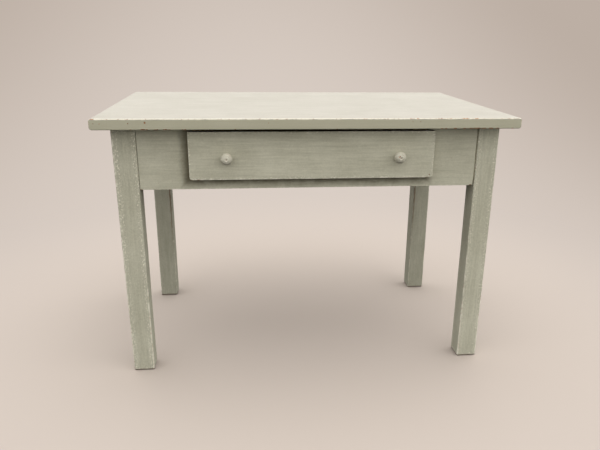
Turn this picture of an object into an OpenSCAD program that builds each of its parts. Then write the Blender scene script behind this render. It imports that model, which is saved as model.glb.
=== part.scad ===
// Miniature dining table with one drawer, a third of full size, in painted pine.
// The table stands on z = 0 with its origin under the middle of the top.
// +Z is up, the drawer opens towards -Y, and all sizes are in millimetres.

/* [Tabletop] */
// Width of the top, left to right
top_w = 380; // [350:1:460]
// Depth of the top, front to back
top_d = 245; // [240:1:300]
// Height of the whole table
table_h = 251; // [230:1:300]
// Thickness of the top boards
top_t = 9.5; // [8:0.5:12]
// Radius of the top's corners, seen from above
top_corner_r = 2.5; // [1:0.5:4]
// Radius of the rounded ends of the boards
top_end_r = 2.4; // [1:0.2:3]

/* [Legs] */
// Side of the square leg
leg_s = 20; // [18:0.5:24]
// Radius of the leg's long edges
leg_edge_r = 0.8; // [0.4:0.1:1.5]
// Overhang of the top past the front legs, at each end
end_overhang = 13.5; // [8:0.5:20]
// Distance of the legs and drawer to the right of the top's middle
frame_x = 1.2; // [0:0.2:2]
// Overhang of the top past the legs, at the front and the back
side_overhang = 18.5; // [16:0.5:24]
// Distance that each rear leg stands further in than its front leg
rear_leg_inset = 5; // [2:0.5:5]

/* [Aprons] */
// Height of the aprons
apron_h = 56.5; // [54:0.5:60]
// Thickness of the aprons
apron_t = 9; // [8:0.5:10]
// Step back from the leg's face to the front and rear aprons
apron_set = 0.6; // [0:0.1:1]
// Step back from the front leg's outer face to the side aprons
side_set = 6; // [5.5:0.5:7]
// Open shoulder at the left end of the front apron
gap_left = 0.5; // [0:0.1:1]
// Open shoulder at the right end of the front apron
gap_right = 1.2; // [0:0.1:1.5]
// Thickness of every tenon
tenon_t = 5; // [4:0.5:5]
// Length of the tenons on the front and rear aprons
tenon_l = 12; // [9:0.5:12]

/* [Drawer] */
// Width of the drawer front
front_w = 224; // [200:1:230]
// Height of the drawer front
front_h = 43; // [42:0.5:44]
// Distance of the drawer to the right of the middle between the legs
drawer_x = 1; // [0:0.5:4]
// Gap between the top and the drawer front
front_gap = 3.6; // [3:0.1:4.5]
// Thickness of the lip that overlaps the apron
lip_t = 6.8; // [5:0.2:7]
// Overlap of the lip at each side of the opening
lip_w = 3; // [2:0.5:4]
// Radius of the lip's lower corners
lip_r = 2.5; // [1:0.5:3]
// Thickness of the drawer's sides and back
side_t = 6; // [5:0.5:7]
// Length of the drawer's sides
drawer_l = 178; // [150:1:178]
// Thickness of the drawer's bottom
bottom_t = 2.8; // [2.4:0.1:3]

/* [Knobs] */
// Largest diameter of a knob
knob_d = 10.5; // [9:0.5:12]
// Length of a knob
knob_l = 11; // [9:0.5:11.5]
// Distance between the two knobs
knob_gap = 157; // [120:1:170]
// Distance of the knobs below the middle of the drawer front
knob_drop = 1.5; // [0:0.5:3]

/* [Fastenings] */
// Diameter of the panel pins
pin_d = 1.2; // [1:0.1:1.4]
// Length of the pins that hold the tenons
pin_l = 12; // [9:0.5:12.5]
// Diameter of the screw shanks
screw_d = 2.4; // [2:0.1:2.6]
// Length of the screws that hold the top
top_screw_l = 14; // [12:0.5:15]

/* [Hidden] */
$fn = 48;

LEFT = -1;
RIGHT = 1;
paint = "#a19d88";
bare = "#d3b88c";
steel = "#8c8a86";
fit = 0.1;          // clearance round tenons, pins and sliding parts
past = 1;           // distance that a cutting shape runs past a face

// Frame, worked out from the top downwards
top_z = table_h - top_t;
apron_z = top_z - apron_h;
front_y = -top_d / 2 + side_overhang;
rear_y = -front_y;
leg_front_x = top_w / 2 - end_overhang - leg_s / 2;
leg_rear_x = leg_front_x - rear_leg_inset;
leg_y = rear_y - leg_s / 2;
apron_inner_y = rear_y - apron_set - apron_t;
side_outer_x = leg_front_x + leg_s / 2 - side_set;
side_inner_x = side_outer_x - apron_t;
side_tenon_l = leg_s - apron_set - apron_t + fit * 6;
tenon_z0 = apron_z + 5;
tenon_z1 = top_z - 6;
tenon_y = rear_y - apron_set - apron_t / 2;
side_tenon_x = side_outer_x - apron_t / 2;

// Drawer, worked out from the front downwards and backwards
face_y = front_y + apron_set;            // face of the front apron
front_z1 = top_z - front_gap;
front_z0 = front_z1 - front_h;
open_w = front_w - 2 * lip_w;
open_z = front_z0 + 2.2;                 // top of the rail under the drawer
box_w = open_w - 1.4;
box_z0 = open_z + 0.4;
box_z1 = front_z1 - 5;                   // the sides stand lower than the front
inner_w = box_w - 2 * side_t;
lip_back_y = face_y - 0.2;
lip_face_y = lip_back_y - lip_t;
block_t = 8;                             // thick part of the front, between the sides
block_y = lip_back_y + block_t;
box_y1 = lip_back_y + drawer_l;
back_y = box_y1 - 2 - side_t;
groove = 3;                              // depth of the groove round the bottom
bottom_z = box_z0 + 3.8;
knob_z = (front_z0 + front_z1) / 2 - knob_drop;

// Strips that carry and guide the drawer
runner_h = 8;
runner_z1 = open_z + 0.3;
runner_w = 19.7;
runner_in = inner_w / 2 - 3;
guide_h = 10;
guide_in = box_w / 2 + 0.5;
kicker_z0 = box_z1 + 0.5;
kicker_w = 14;
housing = 3;                             // depth that a runner is let into an apron

// Cleats and screws under the top
cleat_s = 9;
side_cleat_l = 150;
rear_cleat_l = 260;
kicker_l = 2 * (apron_inner_y - cleat_s - 3.4);
side_screw_y = 50;
rear_screw_x = 80;

// Flat outline of w by h with round corners, centred
module rounded(w, h, r) {
    square([w - 2 * r, h], center = true);
    square([w, h - 2 * r], center = true);
    for (x = [-1, 1], y = [-1, 1])
        translate([x * (w / 2 - r), y * (h / 2 - r)]) circle(r);
}

// Box between two corners
module block(low, high) {
    translate(low) cube(high - low);
}

// Shape drawn for the right-hand side, and mirrored for side = LEFT
module sided(side) {
    mirror([side == LEFT ? 1 : 0, 0, 0]) children();
}

// Moves a part of the frame or drawer to its place under the top
module framed() {
    translate([frame_x, 0, 0]) children();
}

// ---- Fastenings, each drawn as a shape that can also cut its own hole ----

// Headed panel pin along +Z, with its head at z = 0
module pin(length, grow = 0) {
    cylinder(d = pin_d + 2 * grow, h = length + grow);
    translate([0, 0, -grow]) cylinder(d = pin_d + 0.7 + 2 * grow, h = 0.6 + grow);
}

// Countersunk wood screw along +Z, with the top of its head at z = 0
module countersunk_screw(length, grow = 0) {
    head_d = 2 * screw_d;
    difference() {
        union() {
            cylinder(d = screw_d + 2 * grow, h = length + grow);
            cylinder(d1 = head_d + 2 * grow, d2 = screw_d + 2 * grow, h = 1.5);
        }
        if (grow == 0) translate([-head_d, -0.3, -past]) cube([2 * head_d, 0.6, past + 0.6]);
    }
}

// Round-headed wood screw along +Z, with the underside of its head at z = 0
module round_screw(length, grow = 0) {
    head_d = 2 * screw_d;
    cylinder(d = screw_d + 2 * grow, h = length + grow);
    if (grow == 0) difference() {
        union() {
            translate([0, 0, -0.8]) cylinder(d = head_d, h = 0.8);
            translate([0, 0, -1.6]) cylinder(d1 = head_d * 0.6, d2 = head_d, h = 0.8);
        }
        translate([-head_d, -0.3, -1.6 - past]) cube([2 * head_d, 0.6, past + 0.7]);
    }
}

// Pins through each leg into the two tenons that it holds, with their heads
// set below the surface and filled over
module leg_pin_set(grow = 0) {
    sunk = 0.8;
    for (side = [LEFT, RIGHT]) {
        for (z = [apron_z + 17, apron_z + 39]) {
            translate([side * (leg_front_x - leg_s / 2 + 6), front_y + sunk, z])
                rotate([-90, 0, 0]) pin(pin_l, grow);
            translate([side * (leg_rear_x - leg_s / 2 + 6), rear_y - sunk, z])
                rotate([90, 0, 0]) pin(pin_l, grow);
        }
        for (z = [apron_z + 22, apron_z + 44]) {
            translate([side * (leg_front_x + leg_s / 2 - sunk), -leg_y + 4.5, z])
                rotate([0, -side * 90, 0]) pin(pin_l, grow);
            translate([side * (leg_rear_x + leg_s / 2 - sunk), leg_y - 4.5, z])
                rotate([0, -side * 90, 0]) pin(pin_l, grow);
        }
    }
}

// Holes for the same pins
module leg_pin_holes() {
    leg_pin_set(fit / 2);
}

module top_screw_set(grow = 0) {
    for (side = [LEFT, RIGHT]) {
        for (y = [-side_screw_y, side_screw_y])
            translate([side * (side_inner_x - cleat_s / 2), y, top_z - cleat_s])
                countersunk_screw(top_screw_l, grow);
        translate([side * rear_screw_x, apron_inner_y - cleat_s / 2, top_z - cleat_s])
            countersunk_screw(top_screw_l, grow);
    }
}

module drawer_side_pin_set(grow = 0) {
    for (side = [LEFT, RIGHT], y = [lip_back_y + block_t / 2, back_y + side_t / 2],
         z = [box_z0 + 12, box_z1 - 9])
        translate([drawer_x + side * box_w / 2, y, z])
            rotate([0, -side * 90, 0]) pin(10, grow);
}

module drawer_bottom_pin_set(grow = 0) {
    for (step = [-1, 0, 1])
        translate([drawer_x + step * 70, back_y + side_t / 2, bottom_z])
            pin(8, grow);
}

module knob_screw(side, grow = 0) {
    translate([drawer_x + side * knob_gap / 2, block_y, knob_z])
        rotate([90, 0, 0]) round_screw(block_t + lip_t + 6, grow);
}

// ---- Tabletop ----

// The whole top, before it is divided into boards
module top_slab() {
    intersection() {
        translate([0, 0, top_z]) linear_extrude(top_t) rounded(top_w, top_d, top_corner_r);
        translate([0, top_d / 2 + past, top_z + top_t / 2]) rotate([90, 0, 0])
            linear_extrude(top_d + 2 * past) rounded(top_w, top_t, top_end_r);
    }
}

// One of three equal boards, counted from the front
module top_board(index) {
    board_d = top_d / 3;
    y0 = -top_d / 2 + index * board_d;
    color(paint) difference() {
        intersection() {
            top_slab();
            block([-top_w, y0, top_z - past], [top_w, y0 + board_d, table_h + past]);
        }
        framed() top_screw_set(fit / 2);
    }
}

// ---- Legs ----

module leg(x, y) {
    color(paint) difference() {
        translate([x, y, 0]) linear_extrude(top_z) rounded(leg_s, leg_s, leg_edge_r);
        tenons(fit);
        leg_pin_holes();
    }
}

// Every tenon in the frame, made larger by grow to cut its mortise
module tenons(grow = 0) {
    for (side = [LEFT, RIGHT]) sided(side) {
        front_in = leg_front_x - leg_s / 2;
        rear_in = leg_rear_x - leg_s / 2;
        block([front_in - past, -tenon_y - tenon_t / 2 - grow, tenon_z0 - grow],
              [front_in + tenon_l + grow, -tenon_y + tenon_t / 2 + grow, tenon_z1 + grow]);
        block([rear_in - past, tenon_y - tenon_t / 2 - grow, tenon_z0 - grow],
              [rear_in + tenon_l + grow, tenon_y + tenon_t / 2 + grow, tenon_z1 + grow]);
        block([side_tenon_x - tenon_t / 2 - grow, -leg_y + leg_s / 2 - side_tenon_l - grow,
               tenon_z0 - grow],
              [side_tenon_x + tenon_t / 2 + grow, leg_y - leg_s / 2 + side_tenon_l + grow,
               tenon_z1 + grow]);
    }
}

// ---- Aprons ----

// Front or rear apron: a board between two shoulders, with a tenon at each end
module long_apron(y0, x_left, x_right, tenon_x) {
    block([x_left, y0, apron_z], [x_right, y0 + apron_t, top_z]);
    block([-tenon_x, y0 + (apron_t - tenon_t) / 2, tenon_z0],
          [tenon_x, y0 + (apron_t + tenon_t) / 2, tenon_z1]);
}

module apron_front() {
    shoulder = leg_front_x - leg_s / 2;
    color(paint) difference() {
        long_apron(face_y, -shoulder + gap_left, shoulder - gap_right, shoulder + tenon_l);
        block([drawer_x - open_w / 2, face_y - past, open_z],
              [drawer_x + open_w / 2, face_y + apron_t + past, top_z + past]);
        for (side = [LEFT, RIGHT]) runner(side, fit);
        leg_pin_holes();
    }
}

module apron_rear() {
    shoulder = leg_rear_x - leg_s / 2;
    color(paint) difference() {
        long_apron(apron_inner_y, -shoulder, shoulder, shoulder + tenon_l);
        for (side = [LEFT, RIGHT]) runner(side, fit);
        leg_pin_holes();
    }
}

module apron_side(side) {
    shoulder = leg_y - leg_s / 2;
    color(paint) difference() {
        sided(side) {
            block([side_inner_x, -shoulder, apron_z], [side_outer_x, shoulder, top_z]);
            block([side_tenon_x - tenon_t / 2, -shoulder - side_tenon_l, tenon_z0],
                  [side_tenon_x + tenon_t / 2, shoulder + side_tenon_l, tenon_z1]);
        }
        leg_pin_holes();
    }
}

// ---- Strips inside the frame ----

// Runner under a drawer side, let into the front and rear aprons
module runner(side, grow = 0) {
    reach = apron_inner_y + housing;
    translate([drawer_x, 0, 0]) sided(side)
        block([runner_in - grow, -reach - grow, runner_z1 - runner_h - grow],
              [runner_in + runner_w + grow, reach + grow, runner_z1 + grow]);
}

// Guide on top of a runner, beside the drawer
module guide(side) {
    translate([drawer_x, 0, 0]) sided(side)
        block([guide_in, -apron_inner_y, runner_z1],
              [runner_in + runner_w, apron_inner_y, runner_z1 + guide_h]);
}

// Kicker above a drawer side, which stops the open drawer from tipping
module kicker(side) {
    middle = (box_w - side_t) / 2;
    translate([drawer_x, 0, 0]) sided(side)
        block([middle - kicker_w / 2, -kicker_l / 2, kicker_z0],
              [middle + kicker_w / 2, kicker_l / 2, top_z]);
}

module side_cleat(side) {
    color(bare) difference() {
        sided(side) block([side_inner_x - cleat_s, -side_cleat_l / 2, top_z - cleat_s],
                          [side_inner_x, side_cleat_l / 2, top_z]);
        top_screw_set(fit / 2);
    }
}

module rear_cleat() {
    color(bare) difference() {
        block([-rear_cleat_l / 2, apron_inner_y - cleat_s, top_z - cleat_s],
              [rear_cleat_l / 2, apron_inner_y, top_z]);
        top_screw_set(fit / 2);
    }
}

// ---- Drawer ----

// Outline of the lip: square above, round at the two lower corners
module lip_outline() {
    h = front_z1 - front_z0;
    translate([0, h / 2]) {
        rounded(front_w, h, lip_r);
        translate([-front_w / 2, 0]) square([front_w, h / 2]);
    }
}

module drawer_front() {
    color(paint) difference() {
        union() {
            translate([drawer_x, lip_back_y, front_z0]) rotate([90, 0, 0])
                linear_extrude(lip_t) lip_outline();
            block([drawer_x - inner_w / 2, lip_back_y, box_z0],
                  [drawer_x + inner_w / 2, block_y, box_z1]);
        }
        block([drawer_x - inner_w, block_y - groove, bottom_z - fit],
              [drawer_x + inner_w, block_y + past, bottom_z + bottom_t + fit]);
        drawer_side_pin_set(fit / 2);
        for (side = [LEFT, RIGHT]) knob_screw(side, fit);
    }
}

module drawer_side(side) {
    color(bare) difference() {
        translate([drawer_x, 0, 0]) sided(side)
            block([inner_w / 2, lip_back_y, box_z0], [box_w / 2, box_y1, box_z1]);
        block([drawer_x - inner_w / 2 - groove, block_y - groove, bottom_z - fit],
              [drawer_x + inner_w / 2 + groove, box_y1 + past, bottom_z + bottom_t + fit]);
        drawer_side_pin_set(fit / 2);
    }
}

module drawer_back() {
    color(bare) difference() {
        block([drawer_x - inner_w / 2, back_y, bottom_z + bottom_t + fit],
              [drawer_x + inner_w / 2, back_y + side_t, box_z1]);
        drawer_side_pin_set(fit / 2);
        drawer_bottom_pin_set(fit / 2);
    }
}

module drawer_bottom() {
    reach = inner_w / 2 + groove - fit;
    color(bare) difference() {
        block([drawer_x - reach, block_y - groove + fit, bottom_z],
              [drawer_x + reach, back_y + side_t, bottom_z + bottom_t]);
        drawer_bottom_pin_set(fit / 2);
    }
}

// Turned knob: a foot, a waist and a mushroom head with a ring and a centre mark
module knob(side) {
    head_r = knob_d / 2;
    head_z = knob_l - 3.2;
    color(paint) difference() {
        translate([drawer_x + side * knob_gap / 2, lip_face_y, knob_z]) rotate([90, 0, 0])
            rotate_extrude() polygon(concat(
                [[0, 0], [head_r * 0.72, 0], [head_r * 0.72, 0.9], [head_r * 0.56, 1.8],
                 [head_r * 0.54, 3]],
                [for (a = [-60:15:60])
                    [head_r * 0.62 + head_r * 0.38 * cos(a), head_z - 0.6 + 3.0 * sin(a)]],
                [[head_r * 0.6, knob_l - 0.55], [head_r * 0.52, knob_l - 0.65],
                 [head_r * 0.42, knob_l - 0.2], [head_r * 0.2, knob_l], [head_r * 0.1, knob_l - 0.6],
                 [0, knob_l - 0.7]]));
        knob_screw(side, fit / 2);
    }
}

top_board(0);  // top_board_front
top_board(1);  // top_board_middle
top_board(2);  // top_board_rear
framed() leg(-leg_front_x, -leg_y);  // leg_front_left
framed() leg(leg_front_x, -leg_y);  // leg_front_right
framed() leg(-leg_rear_x, leg_y);  // leg_rear_left
framed() leg(leg_rear_x, leg_y);  // leg_rear_right
framed() apron_front();
framed() apron_rear();
framed() apron_side(LEFT);  // apron_left
framed() apron_side(RIGHT);  // apron_right
framed() side_cleat(LEFT);  // top_cleat_left
framed() side_cleat(RIGHT);  // top_cleat_right
framed() rear_cleat();  // top_cleat_rear
framed() color(bare) runner(LEFT);  // drawer_runner_left
framed() color(bare) runner(RIGHT);  // drawer_runner_right
framed() color(bare) guide(LEFT);  // drawer_guide_left
framed() color(bare) guide(RIGHT);  // drawer_guide_right
framed() color(bare) kicker(LEFT);  // drawer_kicker_left
framed() color(bare) kicker(RIGHT);  // drawer_kicker_right
framed() drawer_front();
framed() drawer_side(LEFT);  // drawer_side_left
framed() drawer_side(RIGHT);  // drawer_side_right
framed() drawer_back();
framed() drawer_bottom();
framed() knob(LEFT);  // knob_left
framed() knob(RIGHT);  // knob_right
framed() color(steel) knob_screw(LEFT);  // knob_screw_left
framed() color(steel) knob_screw(RIGHT);  // knob_screw_right
framed() color(steel) leg_pin_set();  // leg_pins
framed() color(steel) top_screw_set();  // top_screws
framed() color(steel) drawer_side_pin_set();  // drawer_side_pins
framed() color(steel) drawer_bottom_pin_set();  // drawer_bottom_pins
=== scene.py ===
"""Looks of a small painted table with one drawer, built around its CAD frame.

Every size is in metres. +X is to the table's right, +Y to its back and +Z up.
Inside a finish, places are read in millimetres, because paint is worked at that scale.
"""

from __future__ import annotations

import logging
import math
import random
from contextlib import contextmanager
from dataclasses import dataclass, field
from enum import Enum
from typing import Callable, ClassVar, Iterator, Sequence

import bmesh
import bpy
from mathutils import Matrix, Vector, noise


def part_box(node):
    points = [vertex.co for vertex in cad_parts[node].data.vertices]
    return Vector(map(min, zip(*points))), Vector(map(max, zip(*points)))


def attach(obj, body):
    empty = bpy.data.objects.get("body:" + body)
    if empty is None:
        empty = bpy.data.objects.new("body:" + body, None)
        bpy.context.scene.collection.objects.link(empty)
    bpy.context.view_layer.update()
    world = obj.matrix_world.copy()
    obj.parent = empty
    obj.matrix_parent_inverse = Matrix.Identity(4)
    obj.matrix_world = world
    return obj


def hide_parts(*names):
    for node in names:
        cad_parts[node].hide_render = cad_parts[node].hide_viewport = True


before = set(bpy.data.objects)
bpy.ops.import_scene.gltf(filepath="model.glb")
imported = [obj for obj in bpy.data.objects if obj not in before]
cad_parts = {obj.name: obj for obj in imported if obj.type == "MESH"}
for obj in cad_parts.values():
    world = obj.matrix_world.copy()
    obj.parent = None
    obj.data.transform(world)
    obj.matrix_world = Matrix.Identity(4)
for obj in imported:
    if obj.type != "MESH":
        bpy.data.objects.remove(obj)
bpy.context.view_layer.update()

MM = 0.001
FAR = Vector((1, 1, 1))  # beyond every piece
NEAR = 0.01 * MM  # places this close are the same place
STRAIGHT = 0.999  # how much of an edge's direction lies along its axis, at the least
Colour = tuple[float, float, float]
Box = tuple[Vector, Vector]
Pair = tuple[float, float]
Triple = tuple[float, float, float]
log = logging.getLogger("table")


class Axis(Enum):
    """A direction of the table, as an index into a vector."""

    X = 0
    Y = 1
    Z = 2


class Body(str, Enum):
    """The two bodies that the pieces ride on."""

    FRAME = "frame"
    DRAWER = "drawer"


class Side(str, Enum):
    """The table's two sides."""

    LEFT = "left"
    RIGHT = "right"


class End(str, Enum):
    """The table's front and rear."""

    FRONT = "front"
    REAR = "rear"


def srgb(red: int, green: int, blue: int) -> Colour:
    """Turn a judged colour into the linear values that a shader takes.

    Args:
        red: Red, 0 to 255.
        green: Green, 0 to 255.
        blue: Blue, 0 to 255.

    Returns:
        The three linear values, 0 to 1.
    """
    return tuple(
        value / 12.92 if value <= 0.04045 else ((value + 0.055) / 1.055) ** 2.4
        for value in (red / 255, green / 255, blue / 255)
    )


def shaded(colour: Colour, share: float) -> Colour:
    """Make a colour lighter or darker by a share."""
    return tuple(part * share for part in colour)


def drawn_out(axis: Axis, across: float, along: float) -> Triple:
    """Give a pattern's scale along each axis, where one axis has its own.

    Args:
        axis: The axis that the pattern is drawn out along.
        across: The scale along the two other axes.
        along: The scale along this axis.

    Returns:
        The three scales.
    """
    scale = [across] * 3
    scale[axis.value] = along
    return tuple(scale)


# ---------------------------------------------------------------- shader maths


class Value:
    """A node's output that takes part in Python expressions."""

    def __init__(self, graph: Graph, socket: bpy.types.NodeSocket | None) -> None:
        """Keep the socket and the graph that it belongs to."""
        self.graph = graph
        self.socket = socket

    def __add__(self, other: Value | float) -> Value:
        """Add."""
        return self.graph.math("ADD", self, other)

    def __radd__(self, other: float) -> Value:
        """Add to a number."""
        return self.graph.math("ADD", other, self)

    def __sub__(self, other: Value | float) -> Value:
        """Subtract."""
        return self.graph.math("SUBTRACT", self, other)

    def __rsub__(self, other: float) -> Value:
        """Subtract from a number."""
        return self.graph.math("SUBTRACT", other, self)

    def __mul__(self, other: Value | float) -> Value:
        """Multiply."""
        return self.graph.math("MULTIPLY", self, other)

    def __rmul__(self, other: float) -> Value:
        """Multiply a number."""
        return self.graph.math("MULTIPLY", other, self)

    def __abs__(self) -> Value:
        """Drop the sign."""
        return self.graph.math("ABSOLUTE", self)

    def centred(self) -> Value:
        """Shift a value that lies around a half, so that it lies around 0."""
        return self - 0.5

    def clamped(self) -> Value:
        """Hold the value between 0 and 1."""
        return self.most(0.0).least(1.0)

    def least(self, other: Value | float) -> Value:
        """Keep the smaller of the two."""
        return self.graph.math("MINIMUM", self, other)

    def most(self, other: Value | float) -> Value:
        """Keep the larger of the two."""
        return self.graph.math("MAXIMUM", self, other)

    def rise(self, low: float, high: float) -> Value:
        """Rise smoothly from 0 at low to 1 at high, or fall if high is below low.

        Args:
            low: The value that gives 0.
            high: The value that gives 1.

        Returns:
            A value from 0 to 1.
        """
        if high < low:
            return 1 - self.rise(high, low)
        return self.graph.node(
            "MapRange",
            {"interpolation_type": "SMOOTHSTEP"},
            {"Value": self, "From Min": low, "From Max": high},
        )


class Graph:
    """The nodes of one material."""

    def __init__(self, name: str) -> None:
        """Start an empty material.

        Args:
            name: The material's name.
        """
        self.material = bpy.data.materials.new(name)
        self.material.use_nodes = True
        self.tree = self.material.node_tree
        self.tree.nodes.clear()

    @classmethod
    def of_tree(cls, tree: bpy.types.NodeTree) -> Graph:
        """Start afresh in a world's own tree.

        Args:
            tree: The tree, which is emptied.

        Returns:
            A graph without a material.
        """
        graph = cls.__new__(cls)
        graph.material, graph.tree = None, tree
        tree.nodes.clear()
        return graph

    def node(
        self,
        kind: str,
        settings: dict | None = None,
        inputs: dict | None = None,
        output: int | str = 0,
    ) -> Value:
        """Add any node.

        Args:
            kind: The node's type, without its ShaderNode prefix.
            settings: The node's own settings, set first.
            inputs: Values or links, by the socket's name or index.
            output: The output that is returned, by name or index.

        Returns:
            The chosen output.
        """
        made = self.tree.nodes.new("ShaderNode" + kind)
        for key, setting in (settings or {}).items():
            setattr(made, key, setting)
        for key, given in (inputs or {}).items():
            socket = made.inputs[key]
            if isinstance(given, Value):
                self.tree.links.new(given.socket, socket)
            elif socket.type == "RGBA":
                socket.default_value = (*given[:3], 1.0)
            else:
                socket.default_value = given
        return Value(self, made.outputs[output] if made.outputs else None)

    def math(self, operation: str, *values: Value | float) -> Value:
        """Add a Math node on values or numbers."""
        return self.node("Math", {"operation": operation}, dict(enumerate(values)))

    def mix(self, first: Value | Colour, second: Value | Colour, share: Value | float) -> Value:
        """Mix two colours.

        Args:
            first: The colour at a share of 0.
            second: The colour at a share of 1.
            share: How much of the second colour there is.

        Returns:
            The mixed colour.
        """
        inputs = {0: share, 6: first, 7: second}
        return self.node("Mix", {"data_type": "RGBA"}, inputs, output=2)

    def stretched(self, place: Value, scale: Sequence[float]) -> Value:
        """Scale a place differently along each axis."""
        settings = {"operation": "MULTIPLY"}
        return self.node("VectorMath", settings, {0: place, 1: tuple(scale)})

    def place_mm(self) -> Value:
        """Give the surface point in millimetres."""
        place = self.node("TexCoord", output="Object")
        return self.stretched(place, (1 / MM,) * 3)

    def parts(self, place: Value) -> tuple[Value, Value, Value]:
        """Split a place into its three coordinates.

        Args:
            place: The place.

        Returns:
            Its X, Y and Z.
        """
        split = self.node("SeparateXYZ", inputs={0: place})
        outputs = split.socket.node.outputs
        return tuple(Value(self, outputs[index]) for index in range(3))

    def depths(self, real: Value, box: Box) -> list[Value]:
        """Measure how deep a point lies inside a box, in millimetres along each axis."""
        return [(end - start) / 2 / MM - abs(part - (start + end) / 2 / MM)
                for part, start, end in zip(self.parts(real), *box)]

    def depth(self, real: Value, box: Box) -> Value:
        """Measure the depth below a box's nearest face, in millimetres."""
        first, second, third = self.depths(real, box)
        return first.least(second).least(third)

    def from_arris(self, real: Value, box: Box) -> Value:
        """Measure the distance to a box's nearest arris, in millimetres."""
        first, second, third = self.depths(real, box)
        return first.least(second).most(first.most(second).least(third))

    def cloud(self, place: Value, scale: float | Triple, detail: float = 3.0,
              roughness: float = 0.55) -> Value:
        """Give noise around 0.5, with features of 1 / scale millimetres.

        Args:
            place: The surface point in millimetres.
            scale: The scale per millimetre, one for all axes or one for each.
            detail: How many finer layers are added.
            roughness: How strong the finer layers are.

        Returns:
            A value from 0 to 1.
        """
        scale = scale if isinstance(scale, tuple) else (scale,) * 3
        inputs = {"Vector": self.stretched(place, scale), "Scale": 1.0,
                  "Detail": detail, "Roughness": roughness}
        return self.node("TexNoise", inputs=inputs)

    def bump(self, height: Value, distance_mm: float, strength: float = 1.0) -> Value:
        """Turn a height from 0 to 1 into a normal.

        Args:
            height: The height.
            distance_mm: How high a height of 1 stands.
            strength: How much of it shows.

        Returns:
            The normal.
        """
        inputs = {"Height": height, "Distance": distance_mm * MM, "Strength": strength}
        return self.node("Bump", inputs=inputs)

    def finish(self, sockets: dict) -> bpy.types.Material:
        """End the material in one Principled shader.

        Args:
            sockets: The shader's sockets, by name.

        Returns:
            The material.
        """
        shader = self.node("BsdfPrincipled", inputs=sockets)
        self.node("OutputMaterial", inputs={"Surface": shader})
        return self.material


# ---------------------------------------------------------------- finishes


@dataclass(frozen=True)
class Grain:
    """Planed wood: growth rings drawn out along the grain, with fine pores."""

    early: Colour = srgb(196, 162, 118)
    late: Colour = srgb(154, 112, 70)
    ring_mm: float = 3.4
    ring_length: float = 0.03
    fibre: Pair = (6.0, 0.12)

    def colour(self, graph: Graph, place: Value, along: Axis) -> tuple[Value, Value]:
        """Paint the wood's colour and height.

        Args:
            graph: The material's nodes.
            place: The surface point in millimetres.
            along: The direction of the grain.

        Returns:
            The colour, and a height from 0 to 1.
        """
        across = 1 / self.ring_mm
        ring_scale = drawn_out(along, across, across * self.ring_length)
        rings = graph.cloud(place, ring_scale, detail=2.0).rise(0.38, 0.66)
        fibres = graph.cloud(place, drawn_out(along, *self.fibre), detail=2.0)
        shade = (rings * 0.7 + fibres.centred() * 0.9).clamped()
        return graph.mix(self.early, self.late, shade), fibres


@dataclass(frozen=True)
class BareWood:
    """Unpainted wood of the parts that stay out of sight."""

    name: str
    along: Axis
    grain: Grain = Grain()
    soiled: Colour = srgb(150, 116, 78)
    roughness: float = 0.62

    def material(self) -> bpy.types.Material:
        """Build the material.

        Returns:
            The material.
        """
        graph = Graph(self.name)
        place = graph.place_mm()
        colour, height = self.grain.colour(graph, place, self.along)
        grime_and_shade = graph.cloud(place, 0.03, detail=4.0).rise(0.5, 0.75)
        return graph.finish({
            "Base Color": graph.mix(colour, self.soiled, grime_and_shade * 0.35),
            "Roughness": self.roughness + height.centred() * 0.2,
            "Normal": graph.bump(height, 0.12, 0.5),
        })


@dataclass(frozen=True)
class RawChip:
    """Wood that shows where a splinter or a flake of paint has come off."""

    name: str
    light: Colour = srgb(205, 156, 112)
    dark: Colour = srgb(140, 86, 54)

    def material(self) -> bpy.types.Material:
        """Build the material.

        Returns:
            The material.
        """
        graph = Graph(self.name)
        place = graph.place_mm()
        shade = graph.cloud(place, 0.9, detail=4.0).rise(0.35, 0.65)
        return graph.finish({
            "Base Color": graph.mix(self.light, self.dark, shade),
            "Roughness": 0.8 - shade * 0.15,
            "Normal": graph.bump(shade, 0.15, 0.6),
        })


@dataclass(frozen=True)
class ShadeStripe:
    """A dark stripe of painted shade beside an arris, full high up and fading out downwards."""

    middle_x: float
    width: float
    top_z: float
    bottom_z: float
    strength: float = 0.8
    ragged_mm: float = 2.6
    lumps: Pair = (0.5, 0.09)
    # The colour of the painted shade.
    colour: Colour = srgb(112, 84, 62)

    def share(self, graph: Graph, real: Value, place: Value) -> Value:
        """Mark the stripe of painted shade.

        Args:
            graph: The material's nodes.
            real: The surface point in millimetres.
            place: The same point, moved so that no two finishes look alike.

        Returns:
            A mask from 0 to 1.
        """
        x, _, z = graph.parts(real)
        cloud = graph.cloud(place, drawn_out(Axis.Z, *self.lumps), detail=4.0)
        away = (abs(x - self.middle_x / MM) - self.width / 2 / MM
                + cloud.centred() * self.ragged_mm)
        drawn = away.rise(0.5, -0.3)
        return drawn * z.rise(self.bottom_z / MM, self.top_z / MM) * self.strength


@dataclass(frozen=True)
class GrimeAndShade:
    """A colour laid inside a box that thins out away from its faces: real dirt at the legs'
    feet, painted shadow round the drawer's lip, painted shade along the drawer front's top, and
    the paint's own colour on the top's edges and underside.
    """

    box: Box
    reach_mm: float
    strength: float
    # This default colour is the one of the painted shadow round the drawer's lip.
    colour: Colour = srgb(70, 59, 30)
    lumps: float = 0.15

    def share(self, graph: Graph, real: Value, place: Value) -> Value:
        """Mark where the colour lies.

        Args:
            graph: The material's nodes.
            real: The surface point in millimetres.
            place: The same point, moved so that no two finishes look alike.

        Returns:
            A mask from 0 to 1.
        """
        ragged = graph.cloud(place, self.lumps).centred() * (self.reach_mm / 2)
        away = ragged - graph.depth(real, self.box)
        return away.rise(self.reach_mm, 0.0) * self.strength


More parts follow.
